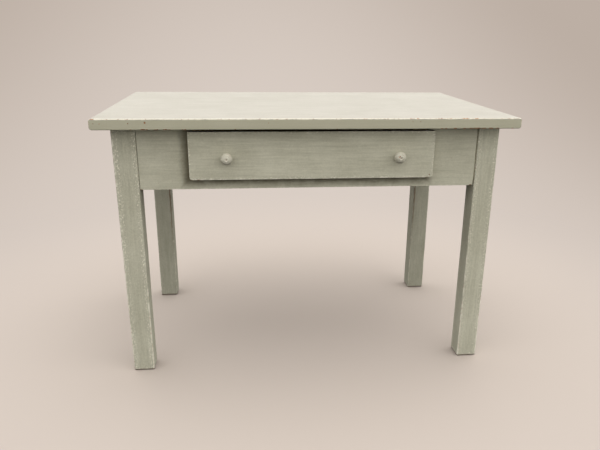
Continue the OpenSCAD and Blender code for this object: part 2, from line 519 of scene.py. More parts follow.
@dataclass(frozen=True)
class BrushedPaint:
    """Matt paint laid on with a small stiff brush, and rubbed through at the arrises.

    Under the paint is a cream primer, and under that the wood. Inside the table,
    where no brush reached, the wood is bare. Each pattern's two numbers are its
    scales across and along the brush strokes, per millimetre.
    """

    name: str
    brush: Axis
    light: Colour = srgb(210, 207, 187)
    dark: Colour = srgb(181, 178, 157)
    primer: Colour = srgb(244, 239, 222)
    wood: Colour = srgb(150, 100, 66)
    rub_low: float = 0.25
    rub_high: float = 0.1
    rub_reach_mm: float = 1.5
    rub_height: float = 0.75
    streaks: float = 0.6
    scratches: float = 0.35
    flecks: float = 0.3
    grit: float = 1.2
    mottle: float = 1.2
    # Painted light: a share that darkens the whole paint, standing for the shade that a piece
    # stands in.
    painted_light_share: float = 1.0
    seed: float = 0.0
    hair: Pair = (0.9, 0.045)
    stroke: Pair = (0.22, 0.012)
    scratch: Pair = (3.2, 0.14)
    fleck: Pair = (1.25, 0.55)
    flake: Pair = (0.42, 0.13)
    # The two marks below are real dirt on some pieces and painted shade on others.
    stain_and_shade: ShadeStripe | None = None
    grime_and_shade: GrimeAndShade | None = None

    def material(self, edges: Box, inside: Box) -> bpy.types.Material:
        """Build the material for a piece.

        Args:
            edges: The box whose arrises are worn.
            inside: The space inside the table, where the wood is bare.

        Returns:
            The material.
        """
        graph = Graph(self.name)
        real = graph.place_mm()
        settings = {"operation": "ADD"}
        place = graph.node("VectorMath", settings, {0: real, 1: (self.seed,) * 3})
        fine = graph.cloud(place, drawn_out(self.brush, *self.hair))
        broad = graph.cloud(place, drawn_out(self.brush, *self.stroke))
        mottle = graph.cloud(place, 0.03, detail=4.0)
        grit = graph.cloud(place, 0.7, detail=4.0, roughness=0.75)
        shade = (0.5 + fine.centred() * self.streaks * 2.0 + broad.centred() * self.streaks * 1.6
                 + mottle.centred() * self.mottle + grit.centred() * self.grit).clamped()
        arris = graph.from_arris(real, edges)
        rubbed = self._rubbed(graph, real, place, edges, arris)
        scratched = self._scratched(graph, place).most(self._flecked(graph, place, arris))
        bitten = graph.cloud(place, 0.55).rise(0.56, 0.62) * rubbed
        specks = graph.cloud(place, 0.75, detail=1.0).rise(0.77, 0.8)
        colour = graph.mix(shaded(self.dark, self.painted_light_share), shaded(self.light, self.painted_light_share), shade)
        colour = graph.mix(colour, self.primer, (rubbed * 0.8).most(scratched * self.scratches))
        colour = graph.mix(colour, self.wood, (bitten * 0.5).most(specks * 0.6))
        # Real dirt, and painted shade on the pieces that have it.
        for mark in (self.stain_and_shade, self.grime_and_shade):
            if mark:
                colour = graph.mix(colour, mark.colour, mark.share(graph, real, place))
        bare = self._bare(graph, real, place, inside)
        grain, fibres = Grain().colour(graph, place, self.brush)
        painted = (fine * 0.5 + broad * 0.35 + grit * 0.2 + (1 - rubbed) * 0.45
                   - (specks + scratched * 0.5) * 0.4)
        return graph.finish({
            "Base Color": graph.mix(colour, grain, bare),
            "Roughness": 0.62 + fine.centred() * 0.25 + rubbed * 0.12,
            "Normal": graph.bump(painted * (1 - bare) + fibres * bare * 0.6, 0.16, 0.6),
            "Specular IOR Level": 0.3,
        })

    def _scratched(self, graph: Graph, place: Value) -> Value:
        """Mark thin pale scratches, in patches where the piece has been knocked.

        Args:
            graph: The material's nodes.
            place: The surface point in millimetres.

        Returns:
            A mask from 0 to 1.
        """
        lines = graph.cloud(place, drawn_out(self.brush, *self.scratch), detail=2.0)
        knocked = graph.cloud(place, 0.035, detail=2.0).rise(0.45, 0.62)
        return lines.rise(0.63, 0.7) * knocked

    def _flecked(self, graph: Graph, place: Value, arris: Value) -> Value:
        """Mark small flecks near the arrises, where paint has been knocked off.

        Args:
            graph: The material's nodes.
            place: The surface point in millimetres.
            arris: The distance to the nearest arris.

        Returns:
            A mask from 0, and above 1 where a fleck is bright.
        """
        dots = graph.cloud(place, drawn_out(self.brush, *self.fleck), detail=2.0)
        near = (self.flecks * 2.4 - arris * 0.45).clamped()
        return (dots.rise(0.55, 0.63) * near * 2.2).least(2.5)

    def _rubbed(self, graph: Graph, real: Value, place: Value, edges: Box,
                arris: Value) -> Value:
        """Mark where the arrises are rubbed through to the primer.

        Args:
            graph: The material's nodes.
            real: The surface point in millimetres.
            place: The same point, moved so that no two finishes look alike.
            edges: The box whose arrises are worn.
            arris: The distance to its nearest arris.

        Returns:
            A mask from 0 to 1.
        """
        low, high = edges[0].z, edges[1].z
        rise = graph.parts(real)[2].rise(low / MM, (low + (high - low) * self.rub_height) / MM)
        rub = self.rub_low + rise * (self.rub_high - self.rub_low)
        flakes = graph.cloud(place, drawn_out(self.brush, *self.flake), 5.0, 0.65)
        return (rub - arris * (1 / self.rub_reach_mm) + flakes.centred() * 2.4).rise(0.0, 0.14)

    def _bare(self, graph: Graph, real: Value, place: Value, inside: Box) -> Value:
        """Mark the bare surfaces inside the table, with an uneven border."""
        ragged = graph.cloud(place, 0.3).centred() * 1.2
        return (graph.depth(real, inside) + ragged.least(0.0)).rise(0.0, 0.1)


@dataclass(frozen=True)
class TurnedPaint:
    """Thin paint on a turned knob, rubbed by fingers on its rim and nose."""

    name: str
    axis_x: float
    axis_z: float
    light: Colour = srgb(226, 222, 206)
    dark: Colour = srgb(182, 178, 158)
    wood: Colour = srgb(150, 108, 74)
    rim_mm: Pair = (3.5, 5.0)
    nose_mm: Pair = (0.8, 0.35)

    def material(self) -> bpy.types.Material:
        """Build the material.

        Returns:
            The material.
        """
        graph = Graph(self.name)
        place = graph.place_mm()
        x, y, z = graph.parts(place)
        x, z = x - self.axis_x / MM, z - self.axis_z / MM
        radius = graph.math("SQRT", x * x + z * z)
        lathe = graph.node("CombineXYZ", inputs={0: radius, 1: y})
        rings = graph.cloud(lathe, (2.4, 2.4, 0.0), detail=2.0)
        patches = graph.cloud(place, 0.5, detail=4.0, roughness=0.6)
        shade = (0.5 + rings.centred() * 1.2 + patches.centred() * 1.5).clamped()
        rim = patches.centred().rise(0.1, 0.16) * radius.rise(*self.rim_mm)
        worn = rim.most(radius.rise(*self.nose_mm))
        colour = graph.mix(self.dark, self.light, shade)
        return graph.finish({
            "Base Color": graph.mix(colour, self.wood, worn * 0.5),
            "Roughness": 0.55 + patches.centred() * 0.3,
            "Normal": graph.bump(rings * 0.6 + patches * 0.4, 0.12, 0.5),
            "Specular IOR Level": 0.4,
        })


@dataclass(frozen=True)
class WireSteel:
    """Dull drawn steel of the pins and screws."""

    name: str = "wire_steel"
    bright: Colour = srgb(176, 174, 168)
    stained: Colour = srgb(118, 100, 82)

    def material(self) -> bpy.types.Material:
        """Build the material.

        Returns:
            The material.
        """
        graph = Graph(self.name)
        place = graph.place_mm()
        stain_and_shade = graph.cloud(place, 0.6, detail=4.0).rise(0.4, 0.7)
        return graph.finish({
            "Base Color": graph.mix(self.bright, self.stained, stain_and_shade),
            "Metallic": 1.0 - stain_and_shade * 0.35,
            "Roughness": 0.38 + stain_and_shade * 0.25,
            "Normal": graph.bump(stain_and_shade, 0.03, 0.4),
        })


@dataclass(frozen=True)
class StudioPaper:
    """Plain pale paper: a floor that takes the dome's light, and a wall that glows, with a
    painted light falloff that darkens the paper away from the table.
    """

    name: str = "studio_paper"
    colour: Colour = (0.700, 0.617, 0.556)
    # Painted light falloff: the paper darkens to this colour away from the table.
    painted_dim: Colour = (0.500, 0.424, 0.368)
    dome_light: float = 1.27
    wall_m: Pair = (0.18, 0.62)
    painted_falloff_m: Pair = (0.3, 2.1)
    stretch: Triple = (1.6, 0.5, 1.3)
    tooth: float = 0.06
    tooth_shade: float = 0.9

    def material(self) -> bpy.types.Material:
        """Build the material.

        Returns:
            The material.
        """
        graph = Graph(self.name)
        place = graph.place_mm()
        across, back, up = graph.parts(graph.stretched(place, self.stretch))
        away = graph.math("SQRT", across * across + back * back + up * up)
        tone = graph.mix(self.colour, self.painted_dim, self._between(away, self.painted_falloff_m))
        tooth = graph.cloud(place, 0.004, detail=4.0) * self.tooth
        tone = graph.mix(tone, shaded(self.colour, self.tooth_shade), tooth)
        x, y, _ = graph.parts(place)
        wall = self._between(graph.math("SQRT", x * x + y * y), self.wall_m)
        diffuse = graph.node("VectorMath", {"operation": "SCALE"},
                             {0: tone, "Scale": (1 - wall) * (1 / self.dome_light)})
        return graph.finish({
            "Base Color": diffuse,
            "Emission Color": graph.mix((0.0, 0.0, 0.0), tone, wall),
            "Emission Strength": 1.0,
            "Roughness": 1.0,
            "Specular IOR Level": 0.0,
        })

    @staticmethod
    def _between(distance: Value, ends_m: Pair) -> Value:
        """Rise from 0 to 1 between two distances that are given in metres."""
        return distance.rise(ends_m[0] / MM, ends_m[1] / MM)


# ---------------------------------------------------------------- modelling


class Bench:
    """Modelling moves that the pieces share, each on one object at a time."""

    merge: ClassVar[float] = 0.004 * MM
    merge_cad: ClassVar[float] = 0.002 * MM
    flat: ClassVar[float] = math.radians(0.5)
    sharp: ClassVar[float] = math.radians(50)

    @staticmethod
    def pick(piece: bpy.types.Object) -> None:
        """Make one object active and the only one selected.

        Args:
            piece: The object.
        """
        bpy.ops.object.select_all(action="DESELECT")
        piece.select_set(True)
        bpy.context.view_layer.objects.active = piece

    @staticmethod
    @contextmanager
    def editing(piece: bpy.types.Object) -> Iterator[None]:
        """Work on a piece in edit mode, with nothing selected at the start.

        Args:
            piece: The object to edit.

        Yields:
            Nothing.
        """
        Bench.pick(piece)
        bpy.ops.object.mode_set(mode="EDIT")
        bpy.ops.mesh.select_all(action="DESELECT")
        yield
        bpy.ops.object.mode_set(mode="OBJECT")

    @staticmethod
    def block(name: str, low: Vector, high: Vector) -> bpy.types.Object:
        """Add a box between two corners, with its place in its mesh.

        Args:
            name: The object's name.
            low: The lowest corner.
            high: The highest corner.

        Returns:
            The object.
        """
        bpy.ops.object.select_all(action="DESELECT")
        bpy.ops.mesh.primitive_cube_add(size=1, location=(low + high) / 2, scale=high - low)
        return Bench.settled(name)

    @staticmethod
    def settled(name: str) -> bpy.types.Object:
        """Name the newest primitive and move its place into its mesh.

        Args:
            name: The object's name.

        Returns:
            The object.
        """
        piece = bpy.context.active_object
        piece.name = piece.data.name = name
        bpy.ops.object.transform_apply(location=True, rotation=True, scale=True)
        return piece

    @staticmethod
    def select_edges(piece: bpy.types.Object, wanted: Callable[[Vector, Vector], bool]) -> None:
        """Select edges in edit mode.

        Args:
            piece: The object in edit mode.
            wanted: Says yes or no to an edge's middle and unit direction.
        """
        bpy.ops.mesh.select_all(action="DESELECT")
        bpy.ops.mesh.select_mode(type="EDGE")
        shape = bmesh.from_edit_mesh(piece.data)
        for edge in shape.edges:
            first, last = (corner.co for corner in edge.verts)
            if wanted((first + last) / 2, (last - first).normalized()):
                edge.select_set(True)
        bmesh.update_edit_mesh(piece.data)

    @staticmethod
    def divide_along(piece: bpy.types.Object, axis: Axis, pitch: float) -> None:
        """Cut the long edges that run along an axis into short ones.

        Args:
            piece: The object.
            axis: The direction of the edges.
            pitch: The length of the short edges.
        """
        low, high = Bench.corners(piece)
        length = high[axis.value] - low[axis.value]
        with Bench.editing(piece):
            Bench.select_edges(piece, lambda _, way: abs(way[axis.value]) > STRAIGHT)
            bpy.ops.mesh.subdivide(number_cuts=max(1, round(length / pitch)))

    @staticmethod
    def corners(piece: bpy.types.Object) -> Box:
        """Find the box round a mesh.

        Args:
            piece: The object.

        Returns:
            The lowest and the highest corner.
        """
        places = [corner.co for corner in piece.data.vertices]
        low = Vector(min(place[index] for place in places) for index in range(3))
        high = Vector(max(place[index] for place in places) for index in range(3))
        return low, high

    @staticmethod
    def modify(piece: bpy.types.Object, kind: str, **settings: object) -> None:
        """Add a modifier and apply it.

        Args:
            piece: The object.
            kind: The modifier's type.
            **settings: The modifier's settings.
        """
        Bench.pick(piece)
        modifier = piece.modifiers.new(kind.lower(), kind)
        for key, value in settings.items():
            setattr(modifier, key, value)
        bpy.ops.object.modifier_apply(modifier=modifier.name)

    @staticmethod
    def join(name: str, pieces: Sequence[bpy.types.Object]) -> bpy.types.Object:
        """Join objects into one.

        Args:
            name: The name of the result.
            pieces: The objects, which are used up.

        Returns:
            The joined object.
        """
        Bench.pick(pieces[0])
        for piece in pieces:
            piece.select_set(True)
        if len(pieces) > 1:
            bpy.ops.object.join()
        joined = bpy.context.active_object
        joined.name = joined.data.name = name
        return joined

    @staticmethod
    def cut(piece: bpy.types.Object, cutters: Sequence[bpy.types.Object]) -> None:
        """Cut shapes out of a piece. The cut faces take the cutter's material.

        A cut that would take away a large share of the piece has failed, and is undone.

        Args:
            piece: The object to cut.
            cutters: The objects to take away, which are used up.
        """
        if not cutters:
            return
        cutter = Bench.join("cutter", cutters)
        whole, size = piece.data.copy(), Bench.volume(piece)
        Bench.modify(piece, "BOOLEAN", operation="DIFFERENCE", object=cutter, solver="EXACT",
                     use_self=True, material_mode="TRANSFER")
        if not 0.8 < Bench.volume(piece) / size < 1.01:
            log.warning("%s: the cut failed, so the piece stays whole", piece.name)
            piece.data = whole
        mesh = cutter.data
        bpy.data.objects.remove(cutter)
        bpy.data.meshes.remove(mesh)

    @staticmethod
    def volume(piece: bpy.types.Object) -> float:
        """Measure the volume that a piece's mesh encloses.

        Args:
            piece: The object.

        Returns:
            The volume.
        """
        shape = bmesh.new()
        shape.from_mesh(piece.data)
        volume = shape.calc_volume()
        shape.free()
        return volume

    @staticmethod
    def wobble(piece: bpy.types.Object, amount: float, pitch: float, seed: float) -> None:
        """Move the vertices a little, so that no edge is dead straight.

        Args:
            piece: The object.
            amount: The largest move.
            pitch: The length of one wave.
            seed: A number that makes this piece its own.
        """
        low, high = Bench.corners(piece)
        shift = Vector((seed, seed * 1.7, -seed))
        for corner in piece.data.vertices:
            moved = corner.co + noise.noise_vector(corner.co / pitch + shift) * amount
            corner.co = [min(max(part, least), most)
                         for part, least, most in zip(moved, low, high)]

    @staticmethod
    def clean(piece: bpy.types.Object, angle: float = 38.0) -> None:
        """Merge doubles, drop specks of edges and shade the piece.

        Args:
            piece: The object.
            angle: Edges sharper than this, in degrees, stay sharp.
        """
        with Bench.editing(piece):
            bpy.ops.mesh.select_all(action="SELECT")
            bpy.ops.mesh.remove_doubles(threshold=Bench.merge)
            bpy.ops.mesh.normals_make_consistent(inside=False)
        Bench.pick(piece)
        bpy.ops.object.shade_smooth_by_angle(angle=math.radians(angle))
        Bench.modify(piece, "WEIGHTED_NORMAL", mode="FACE_AREA", weight=80, keep_sharp=True)

    @staticmethod
    def softened(node: str, name: str, width: float, segments: int = 2) -> bpy.types.Object:
        """Copy a CAD node and ease all its sharp edges, as sandpaper does.

        Args:
            node: The CAD node.
            name: The name of the new piece.
            width: How wide the eased edge is.
            segments: How many facets it has.

        Returns:
            The new piece.
        """
        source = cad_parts[node]
        piece = bpy.data.objects.new(name, source.data.copy())
        piece.data.materials.clear()
        bpy.context.scene.collection.objects.link(piece)
        with Bench.editing(piece):
            bpy.ops.mesh.select_all(action="SELECT")
            bpy.ops.mesh.remove_doubles(threshold=Bench.merge_cad)
            bpy.ops.mesh.dissolve_limited(angle_limit=Bench.flat)
        Bench.modify(piece, "BEVEL", width=width, segments=segments, limit_method="ANGLE",
                     angle_limit=Bench.sharp, use_clamp_overlap=True, miter_outer="MITER_ARC")
        Bench.clean(piece)
        return piece


@dataclass(frozen=True)
class Stretch:
    """A stretch of an arris where splinters have come away."""

    start: Vector
    end: Vector
    inward: Vector
    count: int
    rounding: float
    length: tuple[float, float] = (1.4 * MM, 4.5 * MM)
    depth: tuple[float, float] = (0.25 * MM, 0.65 * MM)
    girth: float = 1.7 * MM

    @classmethod
    def in_front(cls, ends: Pair, y: float, z: float, up: int, count: int, rounding: float,
                 **sizes: object) -> Stretch:
        """Give a stretch of a front arris, which runs along X.

        Args:
            ends: Where it starts and ends.
            y: The front face.
            z: The height of the arris.
            up: 1 if the piece stands above the arris, -1 if it hangs below.
            count: How many splinters are missing.
            rounding: How far the arris is rounded.
            **sizes: Other sizes of the splinters.

        Returns:
            The stretch.
        """
        start, end = (Vector((x, y, z)) for x in ends)
        return cls(start, end, Vector((0, 1, up)), count, rounding, **sizes)

    def cutters(self, rng: random.Random, material: bpy.types.Material) -> list:
        """Make the shapes that cut the splinters out.

        Args:
            rng: The seeded source of sizes and places.
            material: The finish of the bared wood.

        Returns:
            One object for each splinter.
        """
        along = (self.end - self.start).normalized()
        inward = self.inward.normalized()
        surface = inward * self.rounding * (math.sqrt(2) - 1)
        made = []
        for _ in range(self.count):
            place = self.start.lerp(self.end, rng.random()) + surface
            depth = rng.uniform(*self.depth)
            size = Vector((self.girth,) * 3) + Vector(map(abs, along)) * (
                rng.uniform(*self.length) / 2 - self.girth)
            made.append(splinter(place - inward * (self.girth - depth), size, rng, material))
        return made


def splinter(place: Vector, size: Vector, rng: random.Random,
             material: bpy.types.Material) -> bpy.types.Object:
    """Make one rough lump that cuts a chip or a pit.

    Args:
        place: Its middle.
        size: Its half sizes.
        rng: The seeded source of its roughness.
        material: The finish that the cut surface takes.

    Returns:
        The lump.
    """
    bpy.ops.object.select_all(action="DESELECT")
    bpy.ops.mesh.primitive_ico_sphere_add(subdivisions=3, radius=1, location=place, scale=size)
    lump = Bench.settled("splinter")
    with Bench.editing(lump):
        bpy.ops.mesh.select_all(action="SELECT")
        bpy.ops.transform.vertex_random(offset=min(size) * 0.09, seed=rng.randrange(9999))
    lump.data.materials.append(material)
    return lump


def dress(piece: bpy.types.Object, material: bpy.types.Material, slot: str, body: Body,
          *nodes: str) -> None:
    """Give a finished piece its material and its body, and hide the CAD nodes that it stands
    for.

    Args:
        piece: The piece.
        material: Its main finish.
        slot: The record's material slot. It is not used.
        body: The body that it rides on.
        *nodes: The CAD nodes that it stands for.
    """
    if piece.data.materials:
        piece.data.materials[0] = material
    else:
        piece.data.materials.append(material)
    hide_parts(*nodes)
    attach(piece, body.value)
    log.info("%s: %d faces", piece.name, len(piece.data.polygons))


def planed(node: str, material: bpy.types.Material, slot: str, body: Body,
           eased: float) -> None:
    """Make and dress a bare planed piece from its CAD node.

    Args:
        node: The CAD node.
        material: The wood's finish.
        slot: The record's material slot.
        body: The body that it rides on.
        eased: How wide its eased edges are.
    """
    dress(Bench.softened(node, node + "_planed", eased), material, slot, body, node)


# ---------------------------------------------------------------- the table


@dataclass
class Joinery:
    """Sizes that several pieces share, and the space inside the table."""

    tenon: float = 5 * MM
    tenon_above: float = 5 * MM
    tenon_below: float = 6 * MM
    fit: float = 0.1 * MM
    skin: float = 0.3 * MM
    painted_below: float = 2 * MM
    chip: bpy.types.Material = field(init=False)
    flake: bpy.types.Material = field(init=False)
    inside: Box = field(init=False)

    def __post_init__(self) -> None:
        """Work out the inside from the four aprons, and mix the chip's finish."""
        self.chip = RawChip("raw_chip").material()
        self.flake = RawChip("primer_flake", light=srgb(232, 226, 206),
                             dark=srgb(188, 172, 142)).material()
        left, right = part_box("apron_left")[1].x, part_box("apron_right")[0].x
        front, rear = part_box("apron_front")[1].y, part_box("apron_rear")[0].y
        bottom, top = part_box("apron_left")[0].z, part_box("apron_left")[1].z
        skin = self.skin
        self.inside = (Vector((left - skin, front - skin, bottom + self.painted_below)),
                       Vector((right + skin, rear + skin, top + skin)))

    def mortises(self) -> list[bpy.types.Object]:
        """Make the shapes that cut every mortise, from the aprons that fill them.

        Returns:
            One shape for each apron.
        """
        cutters = []
        for apron, long, thin in (("front", Axis.X, Axis.Y), ("rear", Axis.X, Axis.Y),
                                  ("left", Axis.Y, Axis.X), ("right", Axis.Y, Axis.X)):
            low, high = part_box(f"apron_{apron}")
            middle = (low[thin.value] + high[thin.value]) / 2
            low[thin.value] = middle - self.tenon / 2 - self.fit
            high[thin.value] = middle + self.tenon / 2 + self.fit
            low[long.value] -= self.fit
            high[long.value] += self.fit
            low.z += self.tenon_above - self.fit
            high.z -= self.tenon_below - self.fit
            cutters.append(Bench.block("mortise", low, high))
        return cutters


@dataclass
class Tabletop:
    """Three boards glued edge to edge, rounded all round, chipped along the front.

    A run of chips is its start and end along X, and how many chips it has. A hole is
    its place along X, its height above the underside and its radius.
    """

    joinery: Joinery
    rounding: float = 0.8 * MM
    end_rounding: float = 2.4 * MM
    seam: float = 0.12 * MM
    pitch: float = 3 * MM
    rim_below: float = 1.4 * MM
    rim_colour: Colour = srgb(189, 186, 153)
    boards: tuple[str, ...] = ("front", "middle", "rear")
    slot: str = "painted_top"
    lower_chips_mm: ClassVar[tuple[Triple, ...]] = (
        (-156, -154, 2), (-147, -141, 5), (-136, -133, 3), (-130, -123, 5), (-113, -109, 2),
        (-70, -66, 1), (20, 24, 1), (116, 130, 5), (136, 145, 7), (146, 157, 12),
        (159, 161, 3), (161, 169, 8), (180, 184, 1))
    upper_chips_mm: ClassVar[tuple[Triple, ...]] = (
        (-188, -180, 2), (86, 100, 2), (110, 125, 4), (134, 152, 9))
    shallow: Pair = (0.12 * MM, 0.32 * MM)
    holes_mm: ClassVar[tuple[Triple, ...]] = (
        (-143.6, 6.2, 0.8), (-157.5, 5.6, 0.45), (-181, 5.4, 0.4), (-186, 5.5, 0.35),
        (-39, 5.8, 0.35), (89, 6.6, 0.35), (96, 6.6, 0.4))
    hole_depth_mm: float = 1.2

    def build(self) -> None:
        """Make and dress the three boards."""
        low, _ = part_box("top_board_front")
        _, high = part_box("top_board_rear")
        # Painted shade and sheen: the top's paint is a darker, greyer copy of the frame's paint,
        # which balances the strong overhead light and stands for a sheen. The rim mark gives the
        # faces below the top face a yellower colour, close to the frame's paint.
        below = high + Vector((FAR.x, FAR.y, -self.rim_below))
        rim = GrimeAndShade((low - FAR, below), reach_mm=0.5, strength=0.55, colour=self.rim_colour)
        paint = BrushedPaint("top_paint_shaded_copy", Axis.X, light=srgb(194, 190, 180),
                             # The cream line along the top's upper arrises is partly rubbed
                             # primer and partly a painted highlight.
                             dark=srgb(178, 174, 162), rub_low=0.0, rub_high=0.9,
                             rub_reach_mm=1.1, flecks=0.1, grime_and_shade=rim)
        material = paint.material((low, high), self.joinery.inside)
        for board in self.boards:
            node = f"top_board_{board}"
            piece = self.board(node, low, high)
            if board == "front":
                Bench.cut(piece, self.front_damage(low, high))
            Bench.clean(piece)
            dress(piece, material, self.slot, Body.FRAME, node)

    def board(self, node: str, low: Vector, high: Vector) -> bpy.types.Object:
        """Make one board.

        Args:
            node: The CAD node that it stands for.
            low: The lowest corner of the whole top.
            high: Its highest corner.

        Returns:
            The board.
        """
        piece = Bench.block(node + "_worn", *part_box(node))

        def on(value: float, *ends: float) -> bool:
            """Say whether a value lies at one of the ends."""
            return any(abs(value - end) < NEAR for end in ends)

        def end(middle: Vector, way: Vector) -> bool:
            """Pick the arrises of the top's two ends."""
            return abs(way.y) > STRAIGHT and on(middle.x, low.x, high.x)

        def outline(middle: Vector, way: Vector) -> bool:
            """Pick the outline of the top's front and back faces."""
            return abs(way.y) < 1 - STRAIGHT and on(middle.y, low.y, high.y)

        def seam(middle: Vector, way: Vector) -> bool:
            """Pick the arrises where two boards meet."""
            return on(middle.z, low.z, high.z) and not on(middle.y, low.y, high.y) and (
                abs(way.x) > STRAIGHT and abs(middle.y) < high.y - self.rounding * 2)

        with Bench.editing(piece):
            for wanted, width, segments in ((end, self.end_rounding, 6),
                                            (outline, self.rounding, 3), (seam, self.seam, 1)):
                Bench.select_edges(piece, wanted)
                bpy.ops.mesh.bevel(offset=width, segments=segments)
        Bench.divide_along(piece, Axis.X, self.pitch)
        return piece

    def front_damage(self, low: Vector, high: Vector) -> list[bpy.types.Object]:
        """Make the chips, dents and pin holes of the front edge.

        Args:
            low: The lowest corner of the whole top.
            high: Its highest corner.

        Returns:
            The shapes to cut out.
        """
        rng = random.Random(4)
        stretches = [Stretch.in_front((start * MM, end * MM), low.y, low.z, 1, count,
                                      self.rounding)
                     for start, end, count in self.lower_chips_mm]
        stretches += [Stretch.in_front((start * MM, end * MM), low.y, high.z, -1, count,
                                       self.rounding, depth=self.shallow)
                      for start, end, count in self.upper_chips_mm]
        cutters = []
        for stretch in stretches:
            cutters += stretch.cutters(rng, self.joinery.chip)
        for x, above, radius in self.holes_mm:
            size = Vector((radius, self.hole_depth_mm, radius)) * MM
            cutters.append(splinter(Vector((x * MM, low.y, low.z + above * MM)), size, rng,
                                    self.joinery.chip))
        return cutters


@dataclass
class Leg:
    """One square leg with mortises at its head and worn arrises at its foot."""

    joinery: Joinery
    side: Side
    end: End
    rounding: float = 0.9 * MM
    foot: float = 1.8 * MM
    taper: float = 1.8 * MM
    taper_middle: float = 0.3
    pitch: float = 4 * MM
    wobble: float = 0.16 * MM
    wave: float = 22 * MM
    chips: int = 4
    chipped_share: float = 0.45
    slot: str = "painted_frame"
    dirt_top: float = 0.3 * MM
    dirt_colour: Colour = srgb(104, 70, 48)
    shade_stripe_inset: float = 1.3 * MM
    # Painted shade: the place and height of a dark stripe beside a rear leg's inner arris.
    shade_stripe_width: float = 1.2 * MM
    shade_stripe_z: Pair = (0.13, 0.055)
    # Painted shade: each leg's paint is darkened by its share. The rear legs are darkest, as
    # they stand in the top's shadow, and the front left leg is a little darker, on the side away
    # from the light.
    painted_light_shares: ClassVar[dict[tuple[End, Side], float]] = {
        (End.FRONT, Side.LEFT): 0.97, (End.FRONT, Side.RIGHT): 1.0,
        (End.REAR, Side.LEFT): 0.78, (End.REAR, Side.RIGHT): 0.82}

    def build(self) -> None:
        """Make and dress the leg."""
        node = f"leg_{self.end.value}_{self.side.value}"
        low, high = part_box(node)
        seed = sum(map(ord, node)) % 17
        piece = Bench.block(node + "_worn", low, high)
        with Bench.editing(piece):
            Bench.select_edges(piece, lambda middle, way: abs(way.z) > STRAIGHT)
            bpy.ops.mesh.bevel(offset=self.rounding, segments=3)
            Bench.select_edges(piece, lambda middle, way: abs(middle.z - low.z) < NEAR)
            bpy.ops.mesh.bevel(offset=self.foot, segments=3)
        Bench.divide_along(piece, Axis.Z, self.pitch)
        if (self.end, self.side) == (End.FRONT, Side.LEFT):
            self.widen(piece, low, high)
        Bench.wobble(piece, self.wobble, self.wave, seed)
        Bench.cut(piece, self.joinery.mortises())
        Bench.cut(piece, self.damage(low, high, seed))
        Bench.clean(piece)
        paint = self.paint(node, low, high, seed * 61.0)
        dress(piece, paint.material((low, high), self.joinery.inside), self.slot, Body.FRAME,
              node)

    def paint(self, node: str, low: Vector, high: Vector, seed: float) -> BrushedPaint:
        """Choose the leg's paint: a front leg is knocked, and a rear leg has painted shade, with
        darker paint and a dark stripe beside its inner arris.

        Args:
            node: The leg's CAD node.
            low: Its lowest corner.
            high: Its highest corner.
            seed: A number that makes this leg's paint its own.

        Returns:
            The paint.
        """
        dirt_and_shade = GrimeAndShade((-FAR, Vector((FAR.x, FAR.y, self.dirt_top))), reach_mm=2.2,
                     strength=0.95, colour=self.dirt_colour)
        looks = {"rub_high": 0.05, "rub_reach_mm": 1.7, "grit": 1.9, "seed": seed,
                 "painted_light_share": self.painted_light_shares[self.end, self.side], "grime_and_shade": dirt_and_shade}
        if self.end is End.FRONT:
            return BrushedPaint(node + "_paint", Axis.Z, rub_low=0.75, flecks=1.0, **looks)
        # A rear leg gets a stripe of painted shade beside its inner arris.
        inner_x, outward = (high.x, -1) if self.side is Side.LEFT else (low.x, 1)
        stain_and_shade = ShadeStripe(inner_x + outward * self.shade_stripe_inset, self.shade_stripe_width, *self.shade_stripe_z)
        return BrushedPaint(node + "_paint", Axis.Z, rub_low=0.2, flecks=0.4, stain_and_shade=stain_and_shade,
                            **looks)

    def widen(self, piece: bpy.types.Object, low: Vector, high: Vector) -> None:
        """Widen a leg towards its head, on its outer side."""
        middle = (low.x + high.x) / 2
        for corner in piece.data.vertices:
            if corner.co.x < middle:
                share = (corner.co.z - low.z) / (high.z - low.z)
                corner.co.x -= self.taper * (share - self.taper_middle)

    def damage(self, low: Vector, high: Vector, seed: int) -> list[bpy.types.Object]:
        """Make the chips of the lower arrises and of the foot.

        Args:
            low: The leg's lowest corner.
            high: Its highest corner.
            seed: A number that makes this leg its own.

        Returns:
            The shapes to cut out.
        """
        rng = random.Random(seed)
        cutters = []
        top = low.z + (high.z - low.z) * self.chipped_share
        for x, inward_x in ((low.x, 1), (high.x, -1)):
            for y, inward_y in ((low.y, 1), (high.y, -1)):
                inward = Vector((inward_x, inward_y, 0))
                cutters += Stretch(Vector((x, y, low.z)), Vector((x, y, top)), inward,
                                   self.chips, self.rounding, length=(1.5 * MM, 6 * MM),
                                   depth=(0.08 * MM, 0.32 * MM),
                                   girth=1.3 * MM).cutters(rng, self.joinery.flake)
                foot = Vector((x, y, low.z)) - inward * 0.5 * MM
                cutters.append(splinter(foot, Vector((1.7, 1.7, 2.2)) * MM, rng,
                                        self.joinery.chip))
        return cutters


